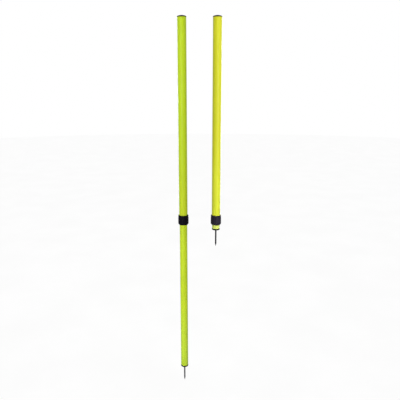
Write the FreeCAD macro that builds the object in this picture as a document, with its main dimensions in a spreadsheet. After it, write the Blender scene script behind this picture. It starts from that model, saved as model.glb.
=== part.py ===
"""A set of two telescopic weave poles for dog agility training, each with a ground spike.

The lime pole stands at its full length and the yellow pole is pushed together, with the tops of both level.
Each pole is a wide upper tube that slides over a narrow lower tube. A threaded nut on the end of the upper
tube squeezes a split ring on the lower tube to lock the length. A plug in the foot holds the steel spike.

Millimetres, +Z up. The origin lies on the lime pole's axis, in the underside of its foot flange, where the
ground is. Every piece is drawn as it sits in a pole that is pushed together, and its Placement then takes it
to its place.
"""

import FreeCAD, Part
import math
import os
import Sketcher

DRIVING_SIZES = [
    ("pole_spacing", 148, "distance between the two poles' axes"),
    ("travel", 700, "how far a pole pulls out"),
    ("pole_top", 920, "height of the closed pole above the ground"),
    ("stop_gap", 0.2, "play left at each end of the travel"),
    ("bond_gap", 0.05, "radial gap of a bonded or pressed joint"),
    ("slide_gap", 0.13, "radial gap of a piece that guides the tubes"),
    ("upper_radius", 19, "upper tube"),
    ("upper_wall", 1.1, "upper tube"),
    ("lower_radius", 17.25, "lower tube"),
    ("lower_wall", 1.25, "lower tube"),
    ("cap_rise", 8, "top cap above the tube's end"),
    ("cap_rim", 3.6, "upright edge of the top cap"),
    ("cap_lip", 0.15, "top cap's edge beyond the upper tube"),
    ("cap_skirt", 25, "top cap inside the tube"),
    ("cap_wall", 2, "top cap"),
    ("collar_base", 24, "height of the lock nut above the ground, pole closed"),
    ("collar_height", 45, "lock nut and sleeve together"),
    ("shoulder_height", 8.6, "band of the sleeve above the nut"),
    ("shoulder_radius", 23, "lock sleeve"),
    ("socket_depth", 20, "upper tube inside the lock sleeve"),
    ("ledge_height", 3, "inner ledge of the lock sleeve"),
    ("ledge_gap", 0.15, "radial gap between the ledge and the lower tube"),
    ("taper_height", 6, "inner cone of the lock sleeve"),
    ("taper_mouth", 19.15, "radius of that cone at its lower end"),
    ("taper_throat", 18.1, "radius of that cone at its upper end"),
    ("ring_gap", 0.1, "radial gap between the clamp ring and the lower tube"),
    ("ring_slit", 2, "width of the cut in the clamp ring"),
    ("ring_slack", 0.15, "gap between the clamp ring's cone and the sleeve's, along the radius"),
    ("ring_drop", 0.4, "clamp ring's upper end below the sleeve's ledge"),
    ("thread_root", 20.4, "root radius of the sleeve's thread"),
    ("thread_depth", 0.8, "lock thread"),
    ("thread_lead", 4, "rise in one turn of the lock thread"),
    ("thread_land", 1, "width of the thread ridge's flat crest"),
    ("thread_flank", 0.4, "height of each of the ridge's sloped sides"),
    ("thread_play", 0.25, "gap between the two threads"),
    ("thread_foot", 1, "start of the thread above the sleeve's lower end"),
    ("nut_radius", 23.1, "lock nut between its ribs"),
    ("nut_web", 7.5, "floor of the lock nut"),
    ("nut_chamfer", 4.5, "height of the sloped edge round the lock nut's foot"),
    ("nut_foot_radius", 19.2, "lower end of the lock nut"),
    ("nut_gap", 0.3, "gap between the nut and the sleeve's shoulder"),
    ("room_drop", 0.5, "nut's room for the clamp ring, below the sleeve's lower end"),
    ("rib_count", 20, "grip ribs on the lock nut"),
    ("rib_radius", 1.8, "rounding of a grip rib"),
    ("rib_rise", 0.5, "grip rib above the nut's surface"),
    ("rib_foot", 0.5, "grip rib's lower end above the nut's chamfer"),
    ("rib_drop", 2.5, "grip rib's upper end below the nut's top"),
    ("bush_head", 4, "head of the guide bush"),
    ("bush_depth", 20, "guide bush inside the lower tube"),
    ("bush_bore", 13, "radius of the guide bush's hole"),
    ("stop_height", 10, "stop ring"),
    ("rivet_radius", 1.5, "stop rivets"),
    ("rivet_head_radius", 2.6, "stop rivets"),
    ("rivet_head", 0.8, "thickness of a stop rivet's inner head"),
    ("flange_height", 7, "flange of the ground plug"),
    ("flange_lip", 0.4, "flange beyond the lower tube"),
    ("plug_skirt", 30, "ground plug inside the lower tube"),
    ("plug_wall", 3, "ground plug"),
    ("plug_floor", 9, "height of the ground plug's floor"),
    ("web_drop", 3, "ground plug's webs below the top of its boss"),
    ("boss_radius", 8, "ground plug's boss"),
    ("boss_top", 24, "height of the ground plug's boss"),
    ("crush_rise", 0.35, "crush ribs above the ground plug's skirt"),
    ("crush_drop", 4, "crush ribs below the top of the skirt"),
    ("spike_radius", 3.5, "spike"),
    ("spike_reach", 80, "spike below the flange"),
    ("spike_point", 14, "cone of the spike"),
    ("spike_tip", 0.4, "radius of the blunted tip"),
    ("seat_radius", 6, "collar of the spike"),
    ("seat_height", 2.5, "collar of the spike"),
    ("screw_radius", 3, "threaded end of the spike"),
    ("screw_end", 34, "height of the spike's upper end"),
    ("washer_radius", 8, "washer under the spike's nut"),
    ("washer_height", 1.6, "washer under the spike's nut"),
    ("washer_gap", 0.2, "radial gap between the washer and the spike"),
    ("hex_width", 10, "spike's nut across its flats"),
    ("hex_height", 5, "spike's nut"),
]

THREAD_TURNS = 3
WEBS = 4
CRUSH_RIBS = 8
EDGE_BREAK = 0.6
# How far an outline reaches into the solid that it joins, or past the solid that it cuts.
OVERLAP = 1
THREAD_OVERLAP = 0.1


class Size:
    """A length that knows its value and the spreadsheet expression that gives it."""

    def __init__(self, value, text):
        self.value = value
        self.text = text

    def _join(self, other, sign, value):
        text = other.text if isinstance(other, Size) else repr(other)
        return Size(value, f"({self.text} {sign} {text})")

    def __add__(self, other):
        return self._join(other, "+", self.value + number(other))

    def __sub__(self, other):
        return self._join(other, "-", self.value - number(other))

    def __mul__(self, other):
        return self._join(other, "*", self.value * number(other))

    def __truediv__(self, other):
        return self._join(other, "/", self.value / number(other))


def number(size):
    """The value of a Size or of a plain number."""
    return size.value if isinstance(size, Size) else size


def make_sheet(doc):
    """Writes the driving sizes to a spreadsheet, and returns them as Size objects by name."""
    sheet = doc.addObject("Spreadsheet::Sheet", "Sizes")
    cells = {}
    for row, (name, value, note) in enumerate(DRIVING_SIZES, start=1):
        sheet.set(f"A{row}", name)
        sheet.set(f"B{row}", str(value))
        sheet.set(f"C{row}", note)
        sheet.setAlias(f"B{row}", name)
        cells[name] = Size(value, f"Sizes.{name}")
    doc.recompute()
    return cells


DOC = FreeCAD.newDocument("WeavePoles")
S = make_sheet(DOC)
# Nothing, as a size, so that an outline can use it like any other.
ZERO = S["travel"] * 0


# Heights and radii worked out from the driving sizes.
TUBE_TOP = S["pole_top"] - S["cap_rise"]
CAP_SKIRT_BASE = TUBE_TOP - S["cap_skirt"]
BUSH_TOP = CAP_SKIRT_BASE - S["stop_gap"]
LOWER_TUBE_TOP = BUSH_TOP - S["bush_head"]
COLLAR_TOP = S["collar_base"] + S["collar_height"]
SHOULDER_BASE = COLLAR_TOP - S["shoulder_height"]
LEDGE_TOP = COLLAR_TOP - S["socket_depth"]
LEDGE_BASE = LEDGE_TOP - S["ledge_height"]
SLEEVE_BASE = LEDGE_BASE - S["taper_height"]
STOP_BASE = LEDGE_TOP + S["travel"] + S["stop_gap"]
UPPER_BORE = S["upper_radius"] - S["upper_wall"]
LOWER_BORE = S["lower_radius"] - S["lower_wall"]
GUIDE_RADIUS = UPPER_BORE - S["slide_gap"]
NUT_FLOOR_TOP = S["collar_base"] + S["nut_web"]
NUT_TOP = SHOULDER_BASE - S["nut_gap"]
NUT_BORE = S["thread_root"] + S["thread_play"]
THREAD_START = SLEEVE_BASE + S["thread_foot"]
THREAD_WIDTH = S["thread_flank"] * 2 + S["thread_land"]


def make_body(label):
    """An empty PartDesign body with its own label."""
    body = DOC.addObject("PartDesign::Body", label)
    body.Label = label
    return body


def plane_of(body, role):
    """One of the body's own origin planes."""
    return next(part for part in body.Origin.OriginFeatures if part.Role == role)


def new_sketch(body, name, role, height=None):
    """A sketch on one of the body's origin planes, lifted to a height where one is given."""
    sketch = body.newObject("Sketcher::SketchObject", name)
    sketch.AttachmentSupport = [(plane_of(body, role), "")]
    sketch.MapMode = "FlatFace"
    if height is not None:
        sketch.setExpression("AttachmentOffset.Base.z", height.text)
    return sketch


def bind(sketch, constraint, size):
    """Adds a constraint whose value is one of the sizes."""
    index = sketch.addConstraint(constraint)
    if isinstance(size, Size):
        sketch.setExpression(f"Constraints[{index}]", size.text)


def segment(start, end, domed):
    """A straight edge, or an arc centred on the upright axis. Returns it, its first and its last point."""
    if not domed:
        line = Part.LineSegment(FreeCAD.Vector(*start, 0), FreeCAD.Vector(*end, 0))
        return line, 1, 2
    centre = (end[0] ** 2 + end[1] ** 2 - start[0] ** 2 - start[1] ** 2) / (2 * (end[1] - start[1]))
    radius = math.hypot(start[0], start[1] - centre)
    angles = [math.atan2(point[1] - centre, point[0]) for point in (start, end)]
    circle = Part.Circle(FreeCAD.Vector(0, centre, 0), FreeCAD.Vector(0, 0, 1), radius)
    arc = Part.ArcOfCircle(circle, min(angles), max(angles))
    return (arc, 1, 2) if angles[0] < angles[1] else (arc, 2, 1)


def outline(sketch, points, domes=()):
    """A closed outline through points of (across, up). The edges whose numbers are in domes are arcs."""
    places = [(number(across), number(up)) for across, up in points]
    ends = []
    for index, start in enumerate(places):
        end = places[(index + 1) % len(places)]
        edge, first, last = segment(start, end, index in domes)
        sketch.addGeometry(edge)
        ends.append((first, last))
        if index in domes:
            sketch.addConstraint(Sketcher.Constraint("PointOnObject", index, 3, -2))
    for index, (across, up) in enumerate(points):
        first = ends[index][0]
        before = (index - 1) % len(points)
        sketch.addConstraint(Sketcher.Constraint("Coincident", before, ends[before][1], index, first))
        x_value = Sketcher.Constraint("DistanceX", -1, 1, index, first, number(across))
        bind(sketch, x_value, across)
        y_value = Sketcher.Constraint("DistanceY", -1, 1, index, first, number(up))
        bind(sketch, y_value, up)


def circle(sketch, radius, across=ZERO):
    """A circle of a given radius, centred on the sketch's first axis."""
    centre = FreeCAD.Vector(across.value, 0, 0)
    index = sketch.addGeometry(Part.Circle(centre, FreeCAD.Vector(0, 0, 1), radius.value))
    bind(sketch, Sketcher.Constraint("Radius", index, radius.value), radius)
    bind(sketch, Sketcher.Constraint("DistanceX", -1, 1, index, 3, across.value), across)
    sketch.addConstraint(Sketcher.Constraint("PointOnObject", index, 3, -1))


def revolve(body, name, points, domes=(), kind="PartDesign::Revolution"):
    """Turns an outline of (radius, height) once round the upright axis, to add or to cut material."""
    sketch = new_sketch(body, f"{name}_outline", "XZ_Plane")
    outline(sketch, points, domes)
    turned = body.newObject(kind, name)
    turned.Profile = sketch
    turned.ReferenceAxis = (sketch, ["V_Axis"])
    turned.Angle = 360
    sketch.Visibility = False
    return turned


def cut_round(body, name, points):
    """Cuts an outline of (radius, height), turned once round the upright axis."""
    return revolve(body, name, points, kind="PartDesign::Groove")


def pad(body, name, sketch, length):
    """Extrudes a sketch along its plane's normal."""
    solid = body.newObject("PartDesign::Pad", name)
    solid.Profile = sketch
    solid.setExpression("Length", length.text)
    return solid


def spread(body, name, feature, axis_sketch, count):
    """Repeats a feature evenly round the upright axis. A count from the sheet stays bound to it."""
    pattern = body.newObject("PartDesign::PolarPattern", name)
    pattern.Originals = [feature]
    pattern.Axis = (axis_sketch, ["N_Axis"])
    pattern.Angle = 360
    pattern.Occurrences = int(number(count))
    if isinstance(count, Size):
        pattern.setExpression("Occurrences", count.text)
    body.Tip = pattern
    return pattern


def helix(body, name, kind, role, points, height):
    """A thread ridge or groove: an outline carried up a helix round the upright axis."""
    sketch = new_sketch(body, f"{name}_outline", role)
    outline(sketch, points)
    thread = body.newObject(kind, name)
    thread.Profile = sketch
    thread.ReferenceAxis = (sketch, ["V_Axis"])
    thread.Mode = "pitch-height-angle"
    thread.setExpression("Pitch", S["thread_lead"].text)
    thread.setExpression("Height", height.text)
    thread.Angle = 0
    thread.Growth = 0
    return thread


def tube(label, outer, bore, base, top):
    """A plain round tube."""
    body = make_body(label)
    sketch = new_sketch(body, "section", "XY_Plane", base)
    circle(sketch, outer)
    circle(sketch, bore)
    pad(body, "wall", sketch, top - base)
    return body


def upper_tube(label):
    """The wide tube, seated on the lock sleeve's ledge."""
    return tube(label, S["upper_radius"], UPPER_BORE, LEDGE_TOP, TUBE_TOP)


def top_cap(label):
    """A hollow cap with a low dome, and a skirt inside the upper tube."""
    body = make_body(label)
    skirt = UPPER_BORE - S["bond_gap"]
    inside = skirt - S["cap_wall"]
    rim = S["upper_radius"] + S["cap_lip"]
    edge_top = TUBE_TOP + S["cap_rim"]
    revolve(
        body,
        "shell",
        [
            (ZERO, S["pole_top"]),
            (rim - EDGE_BREAK, edge_top + EDGE_BREAK),
            (rim, edge_top),
            (rim, TUBE_TOP),
            (skirt, TUBE_TOP),
            (skirt, CAP_SKIRT_BASE + EDGE_BREAK),
            (skirt - EDGE_BREAK, CAP_SKIRT_BASE),
            (inside, CAP_SKIRT_BASE),
            (inside, TUBE_TOP + S["cap_wall"] / 2),
            (ZERO, TUBE_TOP + S["cap_wall"]),
        ],
        domes=(0, 8),
    )
    return body


def lock_sleeve(label):
    """The collar's body, bonded on the upper tube: socket, ledge, inner cone, thread and shoulder band."""
    body = make_body(label)
    socket = S["upper_radius"] + S["bond_gap"]
    ledge = S["lower_radius"] + S["ledge_gap"]
    shoulder = S["shoulder_radius"]
    break_top = EDGE_BREAK * 2
    revolve(
        body,
        "shell",
        [
            (S["taper_mouth"], SLEEVE_BASE),
            (S["thread_root"], SLEEVE_BASE),
            (S["thread_root"], SHOULDER_BASE),
            (shoulder, SHOULDER_BASE),
            (shoulder, COLLAR_TOP - break_top),
            (shoulder - break_top, COLLAR_TOP),
            (socket, COLLAR_TOP),
            (socket, LEDGE_TOP),
            (ledge, LEDGE_TOP),
            (ledge, LEDGE_BASE),
            (S["taper_throat"], LEDGE_BASE),
        ],
    )
    # The ridge starts a quarter turn later than the nut's groove, so it is a quarter of the lead higher.
    foot = THREAD_START + S["thread_lead"] / 4
    sunk = S["thread_root"] - THREAD_OVERLAP
    crest = S["thread_root"] + S["thread_depth"]
    ridge = [
        (sunk, foot),
        (crest, foot + S["thread_flank"]),
        (crest, foot + S["thread_flank"] + S["thread_land"]),
        (sunk, foot + THREAD_WIDTH),
    ]
    helix(body, "thread", "PartDesign::AdditiveHelix", "YZ_Plane", ridge, S["thread_lead"] * THREAD_TURNS)
    return body


def clamp_ring(label):
    """The split nylon ring whose cone sits in the sleeve's cone."""
    body = make_body(label)
    bore = S["lower_radius"] + S["ring_gap"]
    outer = S["taper_mouth"] - S["ring_slack"]
    slope = (S["taper_mouth"] - S["taper_throat"]) / S["taper_height"]
    tip = S["taper_throat"] + slope * S["ring_drop"] - S["ring_slack"]
    top = LEDGE_BASE - S["ring_drop"]
    base = NUT_FLOOR_TOP + S["stop_gap"]
    revolve(
        body,
        "ring",
        [
            (bore, base),
            (outer, base),
            (outer, SLEEVE_BASE),
            (tip, top),
            (bore, top),
        ],
    )
    half = S["ring_slit"] / 2
    slit = new_sketch(body, "slit_outline", "XY_Plane", base - OVERLAP)
    near = S["lower_radius"] - OVERLAP
    far = S["taper_mouth"] + OVERLAP
    outline(slit, [(near, half * -1), (far, half * -1), (far, half), (near, half)])
    cut = body.newObject("PartDesign::Pocket", "slit")
    cut.Profile = slit
    cut.Reversed = True
    cut.setExpression("Length", (LEDGE_BASE - base + OVERLAP * 2).text)
    return body


def lock_nut(label):
    """The ribbed nut that the hand turns."""
    body = make_body(label)
    outer = S["nut_radius"]
    base = S["collar_base"]
    chamfer_top = base + S["nut_chamfer"]
    revolve(
        body,
        "blank",
        [
            (ZERO, base),
            (S["nut_foot_radius"], base),
            (outer, chamfer_top),
            (outer, NUT_TOP - EDGE_BREAK),
            (outer - EDGE_BREAK, NUT_TOP),
            (ZERO, NUT_TOP),
        ],
    )
    rib_base = chamfer_top + S["rib_foot"]
    rib = new_sketch(body, "rib_outline", "XY_Plane", rib_base)
    circle(rib, S["rib_radius"], outer + S["rib_rise"] - S["rib_radius"])
    first = pad(body, "rib", rib, NUT_TOP - S["rib_drop"] - rib_base)
    spread(body, "ribs", first, rib, S["rib_count"])
    # The bore: a way through for the lower tube, room for the clamp ring, then the threaded stretch.
    way = S["lower_radius"] + S["nut_gap"]
    ring_room = S["taper_mouth"] + S["ring_gap"]
    room_top = SLEEVE_BASE - S["room_drop"]
    cut_round(
        body,
        "bore",
        [
            (ZERO, base - OVERLAP),
            (way, base - OVERLAP),
            (way, NUT_FLOOR_TOP),
            (ring_room, NUT_FLOOR_TOP),
            (ring_room, room_top),
            (NUT_BORE, room_top),
            (NUT_BORE, NUT_TOP + OVERLAP),
            (ZERO, NUT_TOP + OVERLAP),
        ],
    )
    play = S["thread_play"]
    sunk = NUT_BORE - THREAD_OVERLAP
    crest = S["thread_root"] + S["thread_depth"] + play
    # The groove's mouth is wider than its bottom, so its sides stay clear of the ridge's sloped sides.
    mouth_play = play * 1.3
    groove = [
        (sunk, THREAD_START - mouth_play),
        (crest, THREAD_START + S["thread_flank"] - play),
        (crest, THREAD_START + S["thread_flank"] + S["thread_land"] + play),
        (sunk, THREAD_START + THREAD_WIDTH + mouth_play),
    ]
    rise = NUT_TOP - THREAD_START + S["thread_lead"]
    helix(body, "thread", "PartDesign::SubtractiveHelix", "XZ_Plane", groove, rise)
    return body


def rivet_holes(body, height):
    """Two holes across the piece for the stop rivets, one on each side."""
    sketch = new_sketch(body, "rivet_hole_outline", "YZ_Plane")
    middle = FreeCAD.Vector(0, height.value, 0)
    radius = S["rivet_radius"] + S["bond_gap"]
    index = sketch.addGeometry(Part.Circle(middle, FreeCAD.Vector(0, 0, 1), radius.value))
    bind(sketch, Sketcher.Constraint("Radius", index, radius.value), radius)
    bind(sketch, Sketcher.Constraint("DistanceY", -1, 1, index, 3, height.value), height)
    sketch.addConstraint(Sketcher.Constraint("PointOnObject", index, 3, -2))
    hole = body.newObject("PartDesign::Pocket", "rivet_holes")
    hole.Profile = sketch
    hole.Type = "ThroughAll"
    hole.Midplane = True


def lower_tube(label):
    """The narrow tube, from the foot flange to the guide bush, drilled for the stop rivets."""
    body = tube(label, S["lower_radius"], LOWER_BORE, S["flange_height"], LOWER_TUBE_TOP)
    rivet_holes(body, STOP_BASE + S["stop_height"] / 2)
    return body


def guide_bush(label):
    """The flanged bush in the lower tube's top end."""
    body = make_body(label)
    inside = LOWER_BORE - S["bond_gap"]
    base = LOWER_TUBE_TOP - S["bush_depth"]
    revolve(
        body,
        "bush",
        [
            (S["bush_bore"], base),
            (inside - EDGE_BREAK, base),
            (inside, base + EDGE_BREAK),
            (inside, LOWER_TUBE_TOP),
            (GUIDE_RADIUS, LOWER_TUBE_TOP),
            (GUIDE_RADIUS, BUSH_TOP - EDGE_BREAK),
            (GUIDE_RADIUS - EDGE_BREAK, BUSH_TOP),
            (S["bush_bore"], BUSH_TOP),
        ],
    )
    return body


def stop_ring(label):
    """The ring that meets the sleeve's ledge when the pole is at its full length."""
    bore = S["lower_radius"] + S["bond_gap"] / 2
    body = tube(label, GUIDE_RADIUS, bore, STOP_BASE, STOP_BASE + S["stop_height"])
    rivet_holes(body, STOP_BASE + S["stop_height"] / 2)
    return body


def stop_rivets(label):
    """Two flat rivets through the stop ring and the lower tube's wall, each with a formed head inside."""
    height = STOP_BASE + S["stop_height"] / 2
    head_start = LOWER_BORE - S["rivet_head"]
    # The head's flat face stays clear of the tube's curved bore.
    head_height = S["rivet_head"] - S["bond_gap"] * 5
    rivets = []
    for name, side, turn in (("right", 1, 90), ("left", -1, -90)):
        shank = DOC.addObject("Part::Cylinder", f"{label}_{name}_shank")
        shank.setExpression("Radius", S["rivet_radius"].text)
        shank.setExpression("Height", (GUIDE_RADIUS - head_start).text)
        head = DOC.addObject("Part::Cylinder", f"{label}_{name}_head")
        head.setExpression("Radius", S["rivet_head_radius"].text)
        head.setExpression("Height", head_height.text)
        for piece in (shank, head):
            spin = FreeCAD.Rotation(FreeCAD.Vector(0, 1, 0), turn)
            piece.Placement = FreeCAD.Placement(FreeCAD.Vector(), spin)
            piece.setExpression("Placement.Base.x", (head_start * side).text)
            piece.setExpression("Placement.Base.z", height.text)
        rivet = DOC.addObject("Part::Fuse", f"{label}_{name}")
        rivet.Base = shank
        rivet.Tool = head
        rivets.append(rivet)
    pair = DOC.addObject("Part::Compound", label)
    pair.Label = label
    pair.Links = rivets
    return pair


def ground_plug(label):
    """The moulded foot: flange, hollow skirt with crush ribs, and a boss on webs for the spike."""
    body = make_body(label)
    flange = S["lower_radius"] + S["flange_lip"]
    skirt = LOWER_BORE - S["crush_rise"] - S["bond_gap"]
    inside = skirt - S["plug_wall"]
    skirt_top = S["flange_height"] + S["plug_skirt"]
    hole = S["spike_radius"] + S["bond_gap"]
    seat = S["seat_radius"] + S["bond_gap"] * 2
    seat_top = S["seat_height"] + S["bond_gap"]
    edge = EDGE_BREAK * 1.5
    revolve(
        body,
        "shell",
        [
            (hole, seat_top),
            (seat, seat_top),
            (seat, ZERO),
            (flange - edge, ZERO),
            (flange, ZERO + edge),
            (flange, S["flange_height"]),
            (skirt, S["flange_height"]),
            (skirt, skirt_top - edge),
            (skirt - edge, skirt_top),
            (inside, skirt_top),
            (inside, S["plug_floor"]),
            (S["boss_radius"], S["plug_floor"]),
            (S["boss_radius"], S["boss_top"]),
            (hole, S["boss_top"]),
        ],
    )
    web_base = S["plug_floor"] - OVERLAP
    web = new_sketch(body, "web_outline", "XY_Plane", web_base)
    half = S["plug_wall"] / 3
    near = S["boss_radius"] - OVERLAP
    far = inside + OVERLAP
    outline(web, [(near, half * -1), (far, half * -1), (far, half), (near, half)])
    first_web = pad(body, "web", web, S["boss_top"] - S["web_drop"] - web_base)
    spread(body, "webs", first_web, web, WEBS)
    crush_base = S["flange_height"] - OVERLAP
    crush = new_sketch(body, "crush_outline", "XY_Plane", crush_base)
    circle(crush, S["plug_wall"] / 3, skirt + S["crush_rise"] - S["plug_wall"] / 3)
    first_crush = pad(body, "crush_rib", crush, skirt_top - S["crush_drop"] - crush_base)
    spread(body, "crush_ribs", first_crush, crush, CRUSH_RIBS)
    return body


def spike(label):
    """The turned steel spike: blunted point, shank, collar in the plug's underside, and threaded end."""
    body = make_body(label)
    shank = S["spike_radius"]
    tip = S["spike_reach"] * -1
    edge = EDGE_BREAK
    revolve(
        body,
        "bar",
        [
            (ZERO, tip),
            (S["spike_tip"], tip),
            (shank, tip + S["spike_point"]),
            (shank, ZERO),
            (S["seat_radius"], ZERO),
            (S["seat_radius"], S["seat_height"]),
            (shank, S["seat_height"]),
            (shank, S["boss_top"]),
            (S["screw_radius"], S["boss_top"]),
            (S["screw_radius"], S["screw_end"] - edge),
            (S["screw_radius"] - edge, S["screw_end"]),
            (ZERO, S["screw_end"]),
        ],
    )
    return body


def spike_washer(label):
    """The flat washer on the plug's boss."""
    bore = S["screw_radius"] + S["washer_gap"]
    return tube(label, S["washer_radius"], bore, S["boss_top"], S["boss_top"] + S["washer_height"])


def spike_nut(label):
    """The hexagon nut that pulls the spike's collar against the plug."""
    body = make_body(label)
    base = S["boss_top"] + S["washer_height"]
    corner = S["hex_width"] / math.sqrt(3)
    half = S["hex_width"] / 2
    hexagon = new_sketch(body, "hexagon_outline", "XY_Plane", base)
    outline(
        hexagon,
        [
            (corner, ZERO),
            (corner / 2, half),
            (corner / -2, half),
            (corner * -1, ZERO),
            (corner / -2, half * -1),
            (corner / 2, half * -1),
        ],
    )
    circle(hexagon, S["screw_radius"] + S["bond_gap"])
    pad(body, "block", hexagon, S["hex_height"])
    top = base + S["hex_height"]
    beyond = corner + OVERLAP
    cut_round(
        body,
        "corner_chamfer",
        [
            (half, top),
            (beyond, top),
            (beyond, top - (beyond - half) / 2),
        ],
    )
    return body


UPPER_PIECES = {
    "upper_tube": upper_tube,
    "top_cap": top_cap,
    "lock_sleeve": lock_sleeve,
    "clamp_ring": clamp_ring,
    "lock_nut": lock_nut,
}

LOWER_PIECES = {
    "lower_tube": lower_tube,
    "guide_bush": guide_bush,
    "stop_ring": stop_ring,
    "stop_rivets": stop_rivets,
    "ground_plug": ground_plug,
    "spike": spike,
    "spike_washer": spike_washer,
    "spike_nut": spike_nut,
}


def make_pole(name, across, lift):
    """Builds one pole's pieces. The upper ones are lifted by the travel and the lower ones by lift."""
    pieces = []
    for makers, height in ((UPPER_PIECES, S["travel"]), (LOWER_PIECES, lift)):
        for piece_name, make in makers.items():
            piece = make(f"{name}_{piece_name}")
            piece.setExpression("Placement.Base.x", across.text)
            piece.setExpression("Placement.Base.z", height.text)
            pieces.append(piece)
    return pieces


def check(pieces):
    """Stops the script if any object failed to compute or any piece is not sound."""
    for item in DOC.Objects:
        if "Invalid" in item.State or "Error" in item.State:
            raise RuntimeError(f"{item.Label} failed: {item.State}")
    for piece in pieces:
        if piece.Shape.isNull() or not piece.Shape.isValid():
            raise RuntimeError(f"{piece.Label} has no sound shape")
        print(f"{piece.Label:22} {len(piece.Shape.Solids)} solid(s) {piece.Shape.Volume:12.1f} mm3")


lime = make_pole("lime", ZERO, ZERO)
yellow = make_pole("yellow", S["pole_spacing"], S["travel"])
DOC.recompute()
check(lime + yellow)

os.makedirs("parts", exist_ok=True)
for node in lime + yellow:
    node.Shape.exportStep(f"parts/{node.Label}.step")
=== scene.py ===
"""The looks of two telescopic weave poles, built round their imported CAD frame. Metres, +Z up.

The lime pole stands pulled out and the yellow pole is pushed together. Every visible piece is rebuilt here
with softened edges, ribs and threads. The inner pieces keep their CAD shapes. Every piece has a moulded,
extruded, rolled, plated or turned surface of its own.
"""

import math

import bmesh
import bpy
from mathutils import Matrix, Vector


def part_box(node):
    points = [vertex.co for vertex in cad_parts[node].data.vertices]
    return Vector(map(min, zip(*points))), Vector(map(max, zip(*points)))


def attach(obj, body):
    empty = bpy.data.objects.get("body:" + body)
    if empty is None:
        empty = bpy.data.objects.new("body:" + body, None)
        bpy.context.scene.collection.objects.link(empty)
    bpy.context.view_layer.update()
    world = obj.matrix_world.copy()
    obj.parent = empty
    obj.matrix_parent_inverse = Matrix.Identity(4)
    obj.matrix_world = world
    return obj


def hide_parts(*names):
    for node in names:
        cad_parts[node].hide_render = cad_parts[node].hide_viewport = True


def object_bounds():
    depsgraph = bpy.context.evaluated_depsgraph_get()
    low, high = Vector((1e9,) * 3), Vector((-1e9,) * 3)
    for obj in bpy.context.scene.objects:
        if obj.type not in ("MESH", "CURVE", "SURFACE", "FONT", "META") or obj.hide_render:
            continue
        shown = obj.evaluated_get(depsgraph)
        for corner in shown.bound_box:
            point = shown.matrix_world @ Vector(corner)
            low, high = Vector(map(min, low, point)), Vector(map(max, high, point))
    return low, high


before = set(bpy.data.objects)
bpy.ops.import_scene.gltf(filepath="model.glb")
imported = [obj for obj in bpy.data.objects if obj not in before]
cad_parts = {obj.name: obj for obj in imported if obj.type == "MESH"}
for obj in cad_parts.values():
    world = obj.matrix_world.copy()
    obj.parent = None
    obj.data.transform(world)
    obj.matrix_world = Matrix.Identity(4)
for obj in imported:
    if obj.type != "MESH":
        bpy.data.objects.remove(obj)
CAD_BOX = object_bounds()

MM = 0.001
TURN = 2 * math.pi
POLES = ("lime", "yellow")

# How finely the meshes are made.
ARC_STEPS = 5
ARC_SHARE = 0.45
DOME_STEPS = 14
SHARP_ANGLE = math.radians(40)
SEGMENTS = 144
RIB_SEGMENTS = 320
PLUG_SEGMENTS = 256
SPIKE_SEGMENTS = 64
DRILL_SEGMENTS = 32
WELD = 0.003 * MM
# A point counts as on a round face when its radius is within NEAR of the face's.
NEAR = 0.05 * MM
ON_AXIS = 1e-7

# Sizes that a node's box can't give. They are the CAD model's own.
BOND_GAP = 0.05 * MM
UPPER_WALL = 1.1 * MM
LOWER_WALL = 1.25 * MM
CAP_RIM = 3.6 * MM
CAP_WALL = 2.0 * MM
CAP_RISE = 8.0 * MM
SHOULDER_RADIUS = 23.0 * MM
SHOULDER_HEIGHT = 8.6 * MM
SOCKET_DEPTH = 20.0 * MM
LEDGE_HEIGHT = 3.0 * MM
LEDGE_GAP = 0.15 * MM
TAPER_MOUTH = 19.15 * MM
TAPER_THROAT = 18.1 * MM
RING_GAP = 0.1 * MM
THREAD_ROOT = 20.4 * MM
THREAD_DEPTH = 0.8 * MM
THREAD_LEAD = 4.0 * MM
THREAD_PLAY = 0.25 * MM
THREAD_FOOT = 1.0 * MM
NUT_RADIUS = 23.1 * MM
NUT_FOOT_RADIUS = 19.2 * MM
NUT_WEB = 7.5 * MM
NUT_CHAMFER = 4.5 * MM
NUT_GAP = 0.3 * MM
ROOM_DROP = 0.5 * MM
RIB_COUNT = 20
RIB_RISE = 0.5 * MM
FLANGE_HEIGHT = 7.0 * MM
PLUG_WALL = 3.0 * MM
PLUG_FLOOR = 9.0 * MM
BOSS_RADIUS = 8.0 * MM
BOSS_TOP = 24.0 * MM
CRUSH_RIBS = 8
CRUSH_RISE = 0.35 * MM
CRUSH_DROP = 4.0 * MM
SPIKE_RADIUS = 3.5 * MM
SPIKE_REACH = 80.0 * MM
SPIKE_POINT = 14.0 * MM
SPIKE_TIP = 0.4 * MM
SEAT_RADIUS = 6.0 * MM
SEAT_HEIGHT = 2.5 * MM
SCREW_RADIUS = 3.0 * MM
RIVET_HOLE_RADIUS = 1.55 * MM
# How far the drill for those holes reaches from the axis, as a share of the tube's radius.
DRILL_REACH = 1.2

# Details of the visible meshes alone: bevels, run-ins and the ends of ribs.
TUBE_ROUNDING = 0.25 * MM
CAP_BEVEL = 0.55 * MM
DOME_INSET = 0.9 * MM
DOME_STEP = 0.5 * MM
DIMPLE_RADIUS = 1.6 * MM
DIMPLE_LIP = 0.12 * MM
DIMPLE_DEPTH = 0.28 * MM
# Where the dome stops and the dimple's floor starts, as shares of the dimple's radius.
DIMPLE_RIM = 1.2
DIMPLE_FLOOR = 0.8
SHOULDER_BEVEL = 1.1 * MM
RIB_HALF_WIDTH = 1.5 * MM
RIB_FOOT = 0.3 * MM
RIB_DROP = 1.6 * MM
RIB_END = 2.0 * MM
# Keeps the ribs' crests just inside the CAD nut.
RIB_FILL = 0.98
CRUSH_HALF_WIDTH = 1.0 * MM
CRUSH_END = 1.5 * MM
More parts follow.
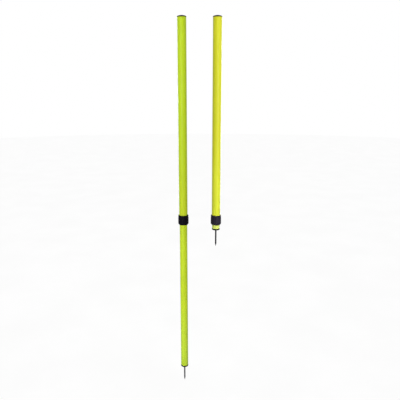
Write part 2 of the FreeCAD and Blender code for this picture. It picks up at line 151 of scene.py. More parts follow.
# Heights above the lock thread's foot where its ridge has risen, starts to fade and is gone. The helix itself
# starts RIDGE_SHIFT lower. The groove has risen GROOVE_RISEN above the sleeve's lower end.
RIDGE_SHIFT = 1.1 * MM
RIDGE_RISEN = 2.0 * MM
RIDGE_FADES = 11.0 * MM
RIDGE_GONE = 14.0 * MM
GROOVE_RISEN = 1.5 * MM
# Shares of a thread's lead: its ridge or groove at half its depth, and each of its sloped flanks.
RIDGE_SHARE = 0.45
GROOVE_SHARE = 0.6
SCREW_SHARE = 0.5
FLANK_SHARE = 0.12
SCREW_PITCH = 1.0 * MM
SCREW_DEPTH = 0.5 * MM
SCREW_FOOT = 0.5 * MM


# ---------------------------------------------------------------- mesh work


def softened(corners, closed):
    """A profile's corners (radius, height, rounding) as points, each corner rounded by its own arc.

    An arc takes at most ARC_SHARE of the edges beside it.
    """
    points = []
    last = len(corners) - 1
    for index, (radius, height, rounding) in enumerate(corners):
        here = Vector((radius, height))
        if rounding <= 0 or (not closed and index in (0, last)):
            points.append(here)
            continue
        before = Vector(corners[index - 1][:2]) - here
        after = Vector(corners[(index + 1) % len(corners)][:2]) - here
        half = before.angle(after) / 2
        reach = min(rounding / math.tan(half), ARC_SHARE * before.length, ARC_SHARE * after.length)
        inward = (before.normalized() + after.normalized()).normalized()
        centre = here + inward * reach / math.cos(half)
        first = here + before.normalized() * reach - centre
        turn = first.angle_signed(here + after.normalized() * reach - centre)
        for step in range(ARC_STEPS + 1):
            angle = -turn * step / ARC_STEPS
            cosine, sine = math.cos(angle), math.sin(angle)
            swung = Vector((first.x * cosine - first.y * sine, first.x * sine + first.y * cosine))
            points.append(centre + swung)
    return points


def divided(points, step, closed=True):
    """The same profile with points no further apart than step."""
    finer = []
    count = len(points)
    for index, start in enumerate(points):
        finer.append(start)
        if not closed and index == count - 1:
            break
        end = points[(index + 1) % count]
        pieces = math.ceil((end - start).length / step)
        finer += [start.lerp(end, part / pieces) for part in range(1, pieces)]
    return finer


def lathe(name, points, axis, closed=True, swell=None, segments=SEGMENTS):
    """Turns a profile of (radius, height) points round an upright axis.

    swell(radius, height, angle) is added to the radius.
    """
    work = bmesh.new()
    rings = []
    for radius, height in points:
        if radius < ON_AXIS:
            rings.append([work.verts.new((axis, 0, height))] * segments)
            continue
        ring = []
        for step in range(segments):
            angle = TURN * step / segments
            reach = radius + (swell(radius, height, angle) if swell else 0)
            ring.append(work.verts.new((axis + reach * math.cos(angle), reach * math.sin(angle), height)))
        rings.append(ring)
    pairs = list(zip(rings, rings[1:]))
    if closed:
        pairs.append((rings[-1], rings[0]))
    for lower, upper in pairs:
        for step in range(segments):
            after = (step + 1) % segments
            corners = dict.fromkeys((lower[step], lower[after], upper[after], upper[step]))
            if len(corners) > 2:
                work.faces.new(corners)
    return finished(name, work)


def finished(name, work):
    """Turns a bmesh into a smooth-shaded object with its real edges kept sharp."""
    bmesh.ops.recalc_face_normals(work, faces=work.faces)
    mesh = bpy.data.meshes.new(name)
    work.to_mesh(mesh)
    work.free()
    shade_smooth(mesh)
    piece = bpy.data.objects.new(name, mesh)
    bpy.context.scene.collection.objects.link(piece)
    return piece


def shade_smooth(mesh):
    """Shades a mesh smooth, apart from its sharp edges."""
    mesh.polygons.foreach_set("use_smooth", [True] * len(mesh.polygons))
    mesh.set_sharp_from_angle(angle=SHARP_ANGLE)


def bore(piece, cutter):
    """Cuts another object out of a piece, removes it, and cleans the cut's edges."""
    cut = piece.modifiers.new("cut", "BOOLEAN")
    cut.operation = "DIFFERENCE"
    cut.solver = "EXACT"
    cut.object = cutter
    bpy.context.view_layer.update()
    graph = bpy.context.evaluated_depsgraph_get()
    mesh = bpy.data.meshes.new_from_object(piece.evaluated_get(graph))
    piece.modifiers.clear()
    piece.data = mesh
    bpy.data.objects.remove(cutter)
    work = bmesh.new()
    work.from_mesh(mesh)
    bmesh.ops.remove_doubles(work, verts=work.verts, dist=WELD)
    bmesh.ops.dissolve_degenerate(work, edges=work.edges, dist=WELD)
    bmesh.ops.triangulate(work, faces=[face for face in work.faces if len(face.verts) > 4])
    work.to_mesh(mesh)
    work.free()
    shade_smooth(mesh)


def bump_shape(offset, half_width):
    """1 at the middle of a rounded bump, 0 beyond its half width."""
    share = abs(offset) / half_width
    return math.sqrt(max(0.0, 1 - share * share)) if share < 1 else 0.0


def eased(value, low, high):
    """0 below low, 1 above high, and a smooth rise between them."""
    share = min(1.0, max(0.0, (value - low) / (high - low)))
    return share * share * (3 - 2 * share)


def from_rib(angle, count, radius):
    """How far round a piece a point is from the nearest of its evenly spaced ribs."""
    pitch = TURN / count
    return ((angle + pitch / 2) % pitch - pitch / 2) * radius


def thread_shape(height, angle, start, lead, share):
    """1 on the crest of a right-hand thread and 0 in its root, with sloped flanks.

    The crest takes a share of the lead, measured at half the flanks' height.
    """
    phase = ((height - start) / lead - angle / TURN) % 1.0
    offset = abs(phase - 0.5) * 2
    return 1 - eased(offset, share - FLANK_SHARE, share + FLANK_SHARE)


def span(node):
    """(axis, radius, lowest, highest) of a round upright CAD node."""
    low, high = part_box(node)
    return (low.x + high.x) / 2, (high.y - low.y) / 2, low.z, high.z


def place(piece, body, slot, material, *nodes):
    """Rides a new piece on its body, with its material, and hides the CAD nodes that it stands for. Its slot
    is not used.
    """
    piece.data.materials.clear()
    piece.data.materials.append(material)
    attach(piece, body)
    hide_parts(*nodes)


# ---------------------------------------------------------------- materials


class Surface:
    """One procedural material: a Principled shader and short names for the nodes that feed it."""

    def __init__(self, name, **constants):
        self.material = bpy.data.materials.new(name)
        self.material.use_nodes = True
        self.tree = self.material.node_tree
        self.tree.nodes.clear()
        self.shader = self.add("ShaderNodeBsdfPrincipled", **constants)
        self.add("ShaderNodeOutputMaterial", Surface=self.shader.outputs["BSDF"])
        self.place = self.add("ShaderNodeTexCoord").outputs["Object"]

    def add(self, kind, settings=None, **inputs):
        """Adds a node. An input is a number, a colour or another node's output; _ in its name is a space."""
        node = self.tree.nodes.new(kind)
        for key, value in (settings or {}).items():
            setattr(node, key, value)
        for key, value in inputs.items():
            self.feed(node.inputs[key.replace("_", " ")], value)
        return node

    def feed(self, socket, value):
        if isinstance(value, bpy.types.NodeSocket):
            self.tree.links.new(value, socket)
        else:
            socket.default_value = value

    def set(self, **inputs):
        for key, value in inputs.items():
            self.feed(self.shader.inputs[key.replace("_", " ")], value)

    def stretched(self, scale):
        """The place on the object, with its three directions scaled."""
        mapping = self.add("ShaderNodeMapping", Vector=self.place)
        mapping.inputs["Scale"].default_value = scale
        return mapping.outputs["Vector"]

    def noise(self, scale, detail=3.0, roughness=0.55):
        """Noise whose grains are 1/scale metres across, along each direction."""
        node = self.add("ShaderNodeTexNoise", Vector=self.stretched(scale), Scale=1.0, Detail=detail,
                        Roughness=roughness)
        return node.outputs["Fac"]

    def cells(self, scale):
        """Rounded cells, as on a spark-eroded mould."""
        node = self.add("ShaderNodeTexVoronoi", Vector=self.stretched(scale), Scale=1.0)
        return node.outputs["Distance"]

    def ranged(self, source, low, high, to_low, to_high):
        """The source between low and high, taken to to_low and to_high."""
        settings = {"interpolation_type": "SMOOTHSTEP"}
        node = self.add("ShaderNodeMapRange", settings, Value=source, From_Min=low, From_Max=high,
                        To_Min=to_low, To_Max=to_high)
        return node.outputs["Result"]

    def math(self, operation, first, second):
        node = self.add("ShaderNodeMath", {"operation": operation})
        self.feed(node.inputs[0], first)
        self.feed(node.inputs[1], second)
        return node.outputs["Value"]

    def mixed(self, share, first, second):
        """Two colours mixed by a share."""
        node = self.add("ShaderNodeMix", {"data_type": "RGBA"})
        self.feed(node.inputs["Factor"], share)
        self.feed(node.inputs["A"], first)
        self.feed(node.inputs["B"], second)
        return node.outputs["Result"]

    def height(self):
        """How high a point is on the object."""
        return self.add("ShaderNodeSeparateXYZ", Vector=self.place).outputs["Z"]

    def edges(self):
        """How far a point stands out as an edge: about 0.5 on a flat face."""
        return self.add("ShaderNodeNewGeometry").outputs["Pointiness"]

    def relief(self, *layers):
        """Bumps laid on each other, each given as (height source, depth in metres)."""
        normal = None
        for source, depth in layers:
            inputs = {"Height": source, "Distance": depth, "Strength": 1.0}
            if normal is not None:
                inputs["Normal"] = normal
            normal = self.add("ShaderNodeBump", **inputs).outputs["Normal"]
        self.feed(self.shader.inputs["Normal"], normal)


def colour(text):
    """A web colour as linear red, green, blue and alpha."""
    shares = [int(text[start:start + 2], 16) / 255 for start in (1, 3, 5)]
    return [s / 12.92 if s <= 0.04045 else ((s + 0.055) / 1.055) ** 2.4 for s in shares] + [1.0]


def tube_plastic(name, body, deep, pale, foot, low, high, scuff):
    """Extruded satin plastic: die lines and flow bands along the tube, cloudy pigment, hairline scores, rubs.

    The colour drifts from foot at height low to body at height high: painted light and shade along the pole.
    scuff is how worn the surface is.
    """
    surface = Surface(name, Specular_IOR_Level=0.22, IOR=1.5, Subsurface_Weight=0.04, Subsurface_Scale=0.002)
    clouds = surface.noise((16, 16, 5), detail=2.0)
    bands = surface.noise((240, 240, 1.5), detail=2.0)
    die_lines = surface.noise((1100, 1100, 3), detail=2.0)
    grain = surface.noise((2600, 2600, 2600), detail=2.0)
    peel = surface.noise((420, 420, 160), detail=1.0)
    scores = surface.noise((2300, 2300, 14), detail=2.0, roughness=0.6)
    rings = surface.noise((45, 45, 2400), detail=2.0, roughness=0.6)
    patches = surface.noise((30, 30, 12), detail=2.0)
    scored = surface.math("MULTIPLY", surface.ranged(scores, 0.63, 0.7, 0.0, 1.0),
                          surface.ranged(patches, 0.42, 0.6, 0.0, 1.0))
    rubbed = surface.math("MULTIPLY", surface.ranged(rings, 0.65, 0.73, 0.0, 1.0),
                          surface.ranged(patches, 0.58, 0.42, 0.0, 1.0))
    marks = surface.math("MULTIPLY", surface.math("MAXIMUM", scored, rubbed), scuff)
    # Painted light and shade: the colour shifts up the tube as the light along the pole does.
    painted_light_by_height = surface.ranged(surface.height(), low, high, 0.0, 1.0)
    base = surface.mixed(painted_light_by_height, colour(foot), colour(body))
    base = surface.mixed(surface.ranged(clouds, 0.35, 0.7, 0.0, 0.35), base, colour(deep))
    base = surface.mixed(surface.ranged(bands, 0.45, 0.7, 0.0, 0.3), base, colour(deep))
    base = surface.mixed(surface.ranged(die_lines, 0.5, 0.72, 0.0, 0.35), base, colour(pale))
    base = surface.mixed(marks, base, colour("#f4f6dc"))
    base = surface.mixed(surface.ranged(grain, 0.66, 0.78, 0.0, 0.2), base, colour(deep))
    rough = surface.math("ADD", surface.ranged(die_lines, 0.3, 0.7, 0.28, 0.44),
                         surface.math("MULTIPLY", marks, 0.6))
    surface.set(Base_Color=base, Roughness=rough)
    surface.relief((die_lines, 0.00007), (peel, 0.00012), (grain, 0.00002), (marks, 0.00004))
    return surface.material


def moulded_plastic(name, body, cloud, rub, grain_depth, gloss=0.16):
    """Injection-moulded plastic: spark-eroded grain, cloudy gloss, specks of dust and paler rubbed edges."""
    surface = Surface(name, Specular_IOR_Level=gloss, IOR=1.5)
    clouds = surface.noise((55, 55, 55), detail=3.0)
    cells = surface.cells((2100, 2100, 2100))
    dust = surface.noise((900, 900, 900), detail=4.0, roughness=0.7)
    rim = surface.ranged(surface.edges(), 0.505, 0.56, 0.0, 1.0)
    worn_rim = surface.math("MULTIPLY", rim, surface.ranged(dust, 0.42, 0.62, 0.1, 0.8))
    base = surface.mixed(surface.ranged(clouds, 0.35, 0.7, 0.0, 0.5), colour(body), colour(cloud))
    base = surface.mixed(surface.ranged(cells, 0.25, 0.7, 0.0, 0.35), base, colour(cloud))
    base = surface.mixed(worn_rim, base, colour(rub))
    base = surface.mixed(surface.ranged(dust, 0.64, 0.78, 0.0, 0.45), base, colour(rub))
    surface.set(Base_Color=base, Roughness=surface.ranged(clouds, 0.3, 0.7, 0.42, 0.6))
    surface.relief((cells, grain_depth), (dust, grain_depth * 0.4))
    return surface.material


def turned_steel(name, body, bright, dark, low, high):
    """Turned bar: rings left by the tool, mottled plating and bright rubbed streaks."""
    surface = Surface(name, Metallic=1.0)
    rings = surface.noise((60, 60, 5200), detail=2.0)
    mottle = surface.noise((420, 420, 260), detail=4.0, roughness=0.65)
    streaks = surface.noise((1500, 1500, 60), detail=2.0)
    base = surface.mixed(surface.ranged(rings, 0.35, 0.7, 0.0, 0.8), colour(body), colour(bright))
    base = surface.mixed(surface.ranged(mottle, 0.5, 0.72, 0.0, 0.6), base, colour(dark))
    base = surface.mixed(surface.ranged(streaks, 0.6, 0.75, 0.0, 0.35), base, colour(bright))
    surface.set(Base_Color=base, Roughness=surface.ranged(mottle, 0.35, 0.7, low, high))
    surface.relief((rings, 0.00003), (mottle, 0.00001))
    return surface.material


def nylon(name):
    """Natural nylon: milky, slightly mottled, with drag lines round the piece."""
    surface = Surface(name, Subsurface_Weight=0.2, Subsurface_Scale=0.003, Specular_IOR_Level=0.45)
    mottle = surface.noise((160, 160, 160), detail=4.0)
    lines = surface.noise((80, 80, 3600), detail=2.0)
    base = surface.mixed(surface.ranged(mottle, 0.35, 0.7, 0.0, 1.0), colour("#e9e6da"), colour("#cfcabb"))
    surface.set(Base_Color=base, Roughness=surface.ranged(lines, 0.3, 0.7, 0.38, 0.55))
    surface.relief((lines, 0.00002), (mottle, 0.00001))
    return surface.material


def rolled_aluminium(name):
    """Rolled aluminium strip: fine lines round the ring and small dents."""
    surface = Surface(name, Metallic=1.0)
    lines = surface.noise((50, 50, 4200), detail=2.0)
    dents = surface.noise((500, 500, 500), detail=3.0)
    base = surface.mixed(surface.ranged(lines, 0.3, 0.7, 0.0, 1.0), colour("#b9bcbf"), colour("#dcdddf"))
    surface.set(Base_Color=base, Roughness=surface.ranged(dents, 0.35, 0.7, 0.28, 0.5))
    surface.relief((lines, 0.00002), (dents, 0.00003))
    return surface.material


def zinc_plate(name):
    """Zinc-plated steel: a bluish spangle that breaks up the shine, and grime."""
    surface = Surface(name, Metallic=1.0)
    spangle = surface.cells((700, 700, 700))
    grime = surface.noise((260, 260, 260), detail=4.0)
    base = surface.mixed(surface.ranged(spangle, 0.1, 0.6, 0.0, 1.0), colour("#aeb4b9"), colour("#c8c7bd"))
    base = surface.mixed(surface.ranged(grime, 0.58, 0.75, 0.0, 0.5), base, colour("#77756d"))
    surface.set(Base_Color=base, Roughness=surface.ranged(spangle, 0.1, 0.7, 0.26, 0.46))
    surface.relief((spangle, 0.00002), (grime, 0.00002))
    return surface.material


# How worn the two tubes of a pole are, 0 to 1.
SCUFFS = {"upper": 0.16, "lower": 0.2}


def tube_materials(pole, deep, pale, **colours):
    """The materials of a pole's two tubes, each given by its colours at its foot and above its middle. The
    change between them is painted light and shade along the pole.
    """
    materials = {}
    for part, (foot, body) in colours.items():
        _, _, low, high = span(f"{pole}_{part}_tube")
        name = f"{pole}_{part}_plastic"
        middle = (low + high) / 2
        materials[part] = tube_plastic(name, body, deep, pale, foot, low, middle, SCUFFS[part])
    return materials


# Each tube's foot and middle colours paint the light and shade along the pole.
TUBES = {
    "lime": tube_materials("lime", deep="#b4ce1a", pale="#d0ea38", upper=("#ccdd24", "#c7e21e"),
                           lower=("#cae83e", "#d2ea28")),
    "yellow": tube_materials("yellow", deep="#d5d82a", pale="#f0ee4c", upper=("#eef73d", "#dfe024"),
                             lower=("#ecfb84", "#e8e830")),
}
CAPS = {
    "lime": moulded_plastic("lime_cap_plastic", "#070707", "#131312", "#302f31", 0.00008),
    "yellow": moulded_plastic("yellow_cap_plastic", "#080807", "#151413", "#333234", 0.00008),
}
COLLARS = {
    "lime": moulded_plastic("lime_collar_plastic", "#07050d", "#0e0c18", "#2c2935", 0.0001, gloss=0.08),
    "yellow": moulded_plastic("yellow_collar_plastic", "#1f1829", "#2f293a", "#514a5f", 0.0001),
}
SPIKES = {
    "lime": turned_steel("lime_spike_steel", "#66676a", "#8c8d90", "#464544", 0.25, 0.42),
    "yellow": turned_steel("yellow_spike_steel", "#17171a", "#2c2c30", "#0e0e10", 0.35, 0.55),
}
INNER = {
    "clamp_ring": nylon("clamp_ring_nylon"),
    "guide_bush": nylon("guide_bush_nylon"),
    "stop_ring": rolled_aluminium("stop_ring_aluminium"),
    "stop_rivets": rolled_aluminium("stop_rivet_aluminium"),
    "spike_washer": zinc_plate("washer_zinc"),
    "spike_nut": zinc_plate("spike_nut_zinc"),
}


# ---------------------------------------------------------------- pieces of a pole


def plain_tube(name, node, wall):
    """A tube in a CAD node's place, with its cut ends lightly broken."""
    axis, radius, low, high = span(node)
    inside = radius - wall
    profile = softened([
        (inside, low, TUBE_ROUNDING),
        (radius, low, TUBE_ROUNDING),
        (radius, high, TUBE_ROUNDING),
        (inside, high, TUBE_ROUNDING),
    ], closed=True)
    return lathe(name, profile, axis)


def make_upper_tube(pole):
    """The wide tube that the narrow one slides in."""
    node = f"{pole}_upper_tube"
    piece = plain_tube(f"{pole}_outer_tube", node, UPPER_WALL)
    place(piece, f"{pole}_upper", f"{pole}_tube", TUBES[pole]["upper"], node)


def make_lower_tube(pole):
    """The narrow tube, drilled right through for the two stop rivets."""
    node = f"{pole}_lower_tube"
    axis, radius, _, _ = span(node)
    _, _, stop_low, stop_high = span(f"{pole}_stop_ring")
    piece = plain_tube(f"{pole}_inner_tube", node, LOWER_WALL)
    reach = DRILL_REACH * radius
    outline = [Vector((0, -reach)), Vector((RIVET_HOLE_RADIUS, -reach)), Vector((RIVET_HOLE_RADIUS, reach)),
               Vector((0, reach))]
    drill = lathe(f"{pole}_drill", outline, 0, closed=False, segments=DRILL_SEGMENTS)
    drill.rotation_euler = (0, math.pi / 2, 0)
    drill.location = (axis, 0, (stop_low + stop_high) / 2)
    bore(piece, drill)
    place(piece, f"{pole}_lower", f"{pole}_tube", TUBES[pole]["lower"], node)


def dome(radius, low, rise):
    """Points of a shallow dome, from its rim almost to its apex."""
    ball = (radius * radius + rise * rise) / (2 * rise)
    points = []
    for step in range(DOME_STEPS):
        across = radius * (1 - step / DOME_STEPS)
        points.append(Vector((across, low + rise - ball + math.sqrt(ball * ball - across * across))))
    return points


def make_top_cap(pole):
    """The domed cap: a bead round its rim, a dimple where it was moulded, and a hollow skirt."""
    node = f"{pole}_top_cap"
    axis, rim, low, high = span(node)
    seat = high - CAP_RISE
    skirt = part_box(f"{pole}_upper_tube")[1].y - UPPER_WALL - BOND_GAP
    inside = skirt - CAP_WALL
    edge = seat + CAP_RIM
    dome_foot = edge + DOME_STEP
    # The hollow's roof, from the axis to the skirt.
    roof = [
        Vector((0, seat + 2.0 * MM)),
        Vector((inside * 0.6, seat + 1.7 * MM)),
        Vector((inside - 0.5 * MM, seat + 1.0 * MM)),
        Vector((inside, seat + 0.4 * MM)),
    ]
    # The first corner only gives the skirt's direction, and isn't a point of the cap.
    shell = softened([
        (inside, seat, 0),
        (inside, low, 0.3 * MM),
        (skirt, low, 0.6 * MM),
        (skirt, seat, 0.1 * MM),
        (rim, seat, 0.35 * MM),
        (rim, edge, 0.5 * MM),
        (rim - CAP_BEVEL, dome_foot, 0.3 * MM),
    ], closed=False)[1:]
    top = [point for point in dome(rim - DOME_INSET, dome_foot, high - edge - DOME_STEP)
           if point.x > DIMPLE_RIM * DIMPLE_RADIUS]
    dimple = [
        Vector((DIMPLE_RADIUS, high - DIMPLE_LIP)),
        Vector((DIMPLE_RADIUS * DIMPLE_FLOOR, high - DIMPLE_DEPTH)),
        Vector((0, high - DIMPLE_DEPTH)),
    ]
    piece = lathe(f"{pole}_end_cap", roof + shell + top + dimple, axis, closed=False)
    place(piece, f"{pole}_upper", "black_plastic", CAPS[pole], node)


def make_lock_sleeve(pole):
    """The collar's body: smooth shoulder band, threaded barrel, socket, ledge and inner cone."""
    node = f"{pole}_lock_sleeve"
    axis, _, low, high = span(node)
    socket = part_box(f"{pole}_upper_tube")[1].y + BOND_GAP
    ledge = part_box(f"{pole}_lower_tube")[1].y + LEDGE_GAP
    shoulder = high - SHOULDER_HEIGHT
    ledge_top = high - SOCKET_DEPTH
    ledge_base = ledge_top - LEDGE_HEIGHT
    foot = low + THREAD_FOOT
    profile = softened([
        (TAPER_MOUTH, low, 0.2 * MM),
        (THREAD_ROOT, low, 0.4 * MM),
        (THREAD_ROOT, shoulder, 0.2 * MM),
        (SHOULDER_RADIUS, shoulder, 0.5 * MM),
        (SHOULDER_RADIUS, high - SHOULDER_BEVEL, 0.7 * MM),
        (SHOULDER_RADIUS - SHOULDER_BEVEL, high, 0.7 * MM),
        (socket, high, 0.25 * MM),
        (socket, ledge_top, 0.15 * MM),
        (ledge, ledge_top, 0.2 * MM),
        (ledge, ledge_base, 0.2 * MM),
        (TAPER_THROAT, ledge_base, 0.2 * MM),
    ], closed=True)

    def ridge(radius, height, angle):
        if abs(radius - THREAD_ROOT) > NEAR:
            return 0.0
        fade = eased(height, foot, foot + RIDGE_RISEN)
        fade *= 1 - eased(height, foot + RIDGE_FADES, foot + RIDGE_GONE)
        crest = thread_shape(height, angle, foot - RIDGE_SHIFT, THREAD_LEAD, RIDGE_SHARE)
        return fade * THREAD_DEPTH * crest

    piece = lathe(f"{pole}_collar_body", divided(profile, step=0.35 * MM), axis, swell=ridge)
    place(piece, f"{pole}_upper", "black_plastic", COLLARS[pole], node)


def make_lock_nut(pole):
    """The nut: round-ended grip ribs, a chamfered foot, and a thread groove that fits the sleeve's ridge."""
    node = f"{pole}_lock_nut"
    axis, _, low, high = span(node)
    _, _, sleeve_low, _ = span(f"{pole}_lock_sleeve")
    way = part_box(f"{pole}_lower_tube")[1].y + NUT_GAP
    room = TAPER_MOUTH + RING_GAP
    room_top = sleeve_low - ROOM_DROP
    inside = THREAD_ROOT + THREAD_PLAY
    foot = sleeve_low + THREAD_FOOT
    rib_low = low + NUT_CHAMFER + RIB_FOOT
    rib_high = high - RIB_DROP
    profile = softened([
        (way, low, 0.4 * MM),
        (NUT_FOOT_RADIUS, low, 0.8 * MM),
        (NUT_RADIUS, low + NUT_CHAMFER, 0.9 * MM),
        (NUT_RADIUS, high, 0.7 * MM),
        (inside, high, 0.5 * MM),
        (inside, room_top, 0.1 * MM),
        (room, room_top, 0.1 * MM),
        (room, low + NUT_WEB, 0.2 * MM),
        (way, low + NUT_WEB, 0.3 * MM),
    ], closed=True)

    def relief(radius, height, angle):
        if radius > NUT_RADIUS - NEAR:
            ends = bump_shape(min(0.0, height - rib_low - RIB_END), RIB_END)
            ends *= bump_shape(max(0.0, height - rib_high + RIB_END), RIB_END)
            rib = bump_shape(from_rib(angle, RIB_COUNT, NUT_RADIUS), RIB_HALF_WIDTH)
            return RIB_RISE * ends * rib * RIB_FILL
        if abs(radius - inside) < NEAR and height > sleeve_low:
            fade = eased(height, sleeve_low, sleeve_low + GROOVE_RISEN)
            groove = thread_shape(height, angle, foot - RIDGE_SHIFT, THREAD_LEAD, GROOVE_SHARE)
            return fade * THREAD_DEPTH * groove
        return 0.0

    fine = divided(profile, step=0.4 * MM)
    piece = lathe(f"{pole}_grip_nut", fine, axis, swell=relief, segments=RIB_SEGMENTS)
    place(piece, f"{pole}_nut", "grip_plastic", COLLARS[pole], node)


def make_ground_plug(pole):
    """The foot: a round-edged flange, a skirt with crush ribs, and a boss for the spike."""
    node = f"{pole}_ground_plug"
    axis, flange, low, high = span(node)
    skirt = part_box(f"{pole}_lower_tube")[1].y - LOWER_WALL - CRUSH_RISE - BOND_GAP
    inside = skirt - PLUG_WALL
    hole = SPIKE_RADIUS + BOND_GAP
    seat = SEAT_RADIUS + 2 * BOND_GAP
    seat_top = low + SEAT_HEIGHT + BOND_GAP
    flange_top = low + FLANGE_HEIGHT
    rib_top = high - CRUSH_DROP
    profile = softened([
        (hole, seat_top, 0.1 * MM),
        (seat, seat_top, 0.1 * MM),
        (seat, low, 0.3 * MM),
        (flange, low, 1.1 * MM),
        (flange, flange_top, 0.5 * MM),
        (skirt, flange_top, 0.1 * MM),
        (skirt, high, 0.8 * MM),
        (inside, high, 0.4 * MM),
        (inside, low + PLUG_FLOOR, 0.8 * MM),
        (BOSS_RADIUS, low + PLUG_FLOOR, 0.8 * MM),
        (BOSS_RADIUS, low + BOSS_TOP, 0.5 * MM),
        (hole, low + BOSS_TOP, 0.3 * MM),
    ], closed=True)

    def ribs(radius, height, angle):
        if abs(radius - skirt) > NEAR or height < flange_top or height > rib_top:
            return 0.0
        rib = bump_shape(from_rib(angle, CRUSH_RIBS, skirt), CRUSH_HALF_WIDTH)
        return CRUSH_RISE * rib * eased(rib_top - height, 0, CRUSH_END)

    fine = divided(profile, step=1.0 * MM)
    piece = lathe(f"{pole}_foot_plug", fine, axis, swell=ribs, segments=PLUG_SEGMENTS)
    place(piece, f"{pole}_lower", "black_plastic", CAPS[pole], node)


def make_spike(pole):
    """The turned spike: blunted point, shank, seat collar and a screw thread at the top."""
    node = f"{pole}_spike"
    axis, _, low, high = span(node)
    ground = low + SPIKE_REACH
    boss_top = ground + BOSS_TOP
    profile = softened([
        (0, low, 0),
        (SPIKE_TIP, low, 0.15 * MM),
        (SPIKE_RADIUS, low + SPIKE_POINT, 2.5 * MM),
        (SPIKE_RADIUS, ground, 0.2 * MM),
        (SEAT_RADIUS, ground, 0.4 * MM),
        (SEAT_RADIUS, ground + SEAT_HEIGHT, 0.3 * MM),
        (SPIKE_RADIUS, ground + SEAT_HEIGHT, 0.2 * MM),
        (SPIKE_RADIUS, boss_top, 0.3 * MM),
        (SCREW_RADIUS, boss_top, 0.1 * MM),
        (SCREW_RADIUS, high, 0.5 * MM),
        (0, high, 0),
    ], closed=False)

    def screw(radius, height, angle):
        if height < boss_top + SCREW_FOOT or abs(radius - SCREW_RADIUS) > NEAR:
            return 0.0
        return -SCREW_DEPTH * (1 - thread_shape(height, angle, ground, SCREW_PITCH, SCREW_SHARE))

    fine = divided(profile, step=0.25 * MM, closed=False)
    piece = lathe(f"{pole}_ground_spike", fine, axis, closed=False, swell=screw, segments=SPIKE_SEGMENTS)
    place(piece, f"{pole}_lower", f"{pole}_spike", SPIKES[pole], node)


def dress_inner_pieces(pole):
    """Gives the pieces inside the tubes, which keep their CAD shapes, their own surfaces."""
    for name, material in INNER.items():
        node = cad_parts[f"{pole}_{name}"]
        node.data.materials.clear()
        node.data.materials.append(material)


for pole_name in POLES:
    make_upper_tube(pole_name)
    make_lower_tube(pole_name)
    make_top_cap(pole_name)
    make_lock_sleeve(pole_name)
    make_lock_nut(pole_name)
    make_ground_plug(pole_name)
    make_spike(pole_name)
    dress_inner_pieces(pole_name)


# ---------------------------------------------------------------- floor, light and camera

LOW, HIGH = CAD_BOX
MIDDLE = (LOW + HIGH) / 2
WHITE = (1, 1, 1, 1)

# The camera's place is measured from the middle between the poles and from their tops. Lens and sensor are in
# millimetres.
LENS = 40.5
SENSOR = 36.0
CAMERA_ASIDE = 0.0016
CAMERA_BACK = 1.976
CAMERA_BELOW_TOP = 0.313
CAMERA_PITCH = math.radians(13.34)

FLOOR_RADIUS = 14
FLOOR_SEGMENTS = 96
FLOOR_DROP = 0.5 * MM
FLOOR_TONES = ((0.11, 0.11, 0.11, 1), (0.08, 0.08, 0.08, 1))
FLOOR_GLOW = 0.36
FLOOR_GLOW_SEEN = 0.92
SKY_GLOW = 0.58

# The side panels reach from below the ground to above the yellow pole when it is pulled out.
PANEL_SPREAD = math.radians(44)
PANEL_WIDTH = 0.06
PANEL_HEIGHT = 3.4
PANEL_MIDDLE = 1.12
PANEL_REACH = 0.19
# Each pair of side panels: the pole that it lights, how far to that pole's side it stands, and its power.
SIDE_PANELS = {"left": ("lime", -0.06, 0.4), "right": ("yellow", 0.09, 0.475)}
TOP_PANEL_SIDE = 2.4
TOP_PANEL_HEIGHT = 3.4
TOP_PANEL_POWER = 12


def make_floor():
    """A plain pale floor under the lime spike's point. It glows, to look as white as the surroundings."""
    work = bmesh.new()
    bmesh.ops.create_circle(work, cap_ends=True, radius=FLOOR_RADIUS, segments=FLOOR_SEGMENTS)
    bmesh.ops.translate(work, verts=work.verts, vec=(MIDDLE.x, 0, LOW.z - FLOOR_DROP))
    floor = finished("floor", work)
    surface = Surface("floor_paint", Roughness=0.9, Specular_IOR_Level=0.0, Emission_Color=WHITE)
    mottle = surface.noise((3, 3, 3), detail=4.0)
    tone = surface.mixed(surface.ranged(mottle, 0.3, 0.7, 0.0, 1.0), *FLOOR_TONES)
    seen = surface.add("ShaderNodeLightPath").outputs["Is Camera Ray"]
    glow = surface.ranged(seen, 0.0, 1.0, FLOOR_GLOW, FLOOR_GLOW_SEEN)
    surface.set(Base_Color=tone, Emission_Strength=glow)
    floor.data.materials.append(surface.material)


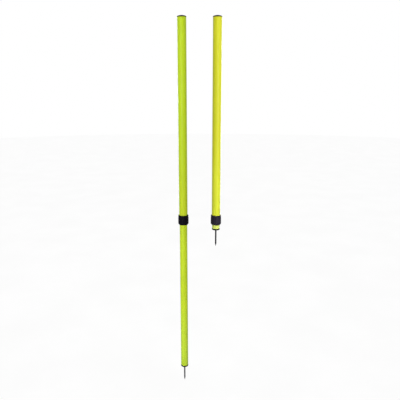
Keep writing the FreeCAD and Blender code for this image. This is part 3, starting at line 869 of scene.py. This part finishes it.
def make_world():
    """A white surrounding: full white behind the object, and softer as light on it."""
    world = bpy.data.worlds.new("studio")
    bpy.context.scene.world = world
    world.use_nodes = True
    tree = world.node_tree
    tree.nodes.clear()
    seen = tree.nodes.new("ShaderNodeBackground")
    seen.inputs["Strength"].default_value = 1.0
    seen.inputs["Color"].default_value = WHITE
    lit = tree.nodes.new("ShaderNodeBackground")
    lit.inputs["Strength"].default_value = SKY_GLOW
    lit.inputs["Color"].default_value = WHITE
    path = tree.nodes.new("ShaderNodeLightPath")
    mix = tree.nodes.new("ShaderNodeMixShader")
    output = tree.nodes.new("ShaderNodeOutputWorld")
    tree.links.new(path.outputs["Is Camera Ray"], mix.inputs[0])
    tree.links.new(lit.outputs[0], mix.inputs[1])
    tree.links.new(seen.outputs[0], mix.inputs[2])
    tree.links.new(mix.outputs[0], output.inputs["Surface"])


def softbox(name, place_at, aim, width, height, power, spread=math.pi):
    """A soft panel that faces a point."""
    data = bpy.data.lights.new(name, "AREA")
    data.shape = "RECTANGLE"
    data.size = width
    data.size_y = height
    data.energy = power
    data.spread = spread
    lamp = bpy.data.objects.new(name, data)
    lamp.location = place_at
    lamp.rotation_euler = (Vector(aim) - Vector(place_at)).to_track_quat("-Z", "Y").to_euler()
    lamp.visible_camera = False
    bpy.context.scene.collection.objects.link(lamp)


def make_lights():
    """Tall narrow panels by each pole's outer side, one in front and one behind, and a soft one overhead."""
    for side, (pole, shift, power) in SIDE_PANELS.items():
        axis = span(f"{pole}_upper_tube")[0]
        for end, reach in (("front", -PANEL_REACH), ("back", PANEL_REACH)):
            softbox(f"{side}_{end}_panel", (axis + shift, reach, PANEL_MIDDLE), (axis, 0, PANEL_MIDDLE),
                    PANEL_WIDTH, PANEL_HEIGHT, power, PANEL_SPREAD)
    softbox("top_panel", (MIDDLE.x, 0, TOP_PANEL_HEIGHT), MIDDLE, TOP_PANEL_SIDE, TOP_PANEL_SIDE,
            TOP_PANEL_POWER)


def make_camera():
    """The camera stands in front of the gap between the poles, near its middle, and looks slightly down."""
    data = bpy.data.cameras.new("camera")
    data.lens = LENS
    data.sensor_width = SENSOR
    camera = bpy.data.objects.new("camera", data)
    camera.location = (MIDDLE.x + CAMERA_ASIDE, -CAMERA_BACK, HIGH.z - CAMERA_BELOW_TOP)
    camera.rotation_euler = (math.pi / 2 - CAMERA_PITCH, 0, 0)
    bpy.context.scene.collection.objects.link(camera)
    bpy.context.scene.camera = camera


make_floor()
make_world()
make_lights()
make_camera()
bpy.context.scene.view_settings.view_transform = "Standard"
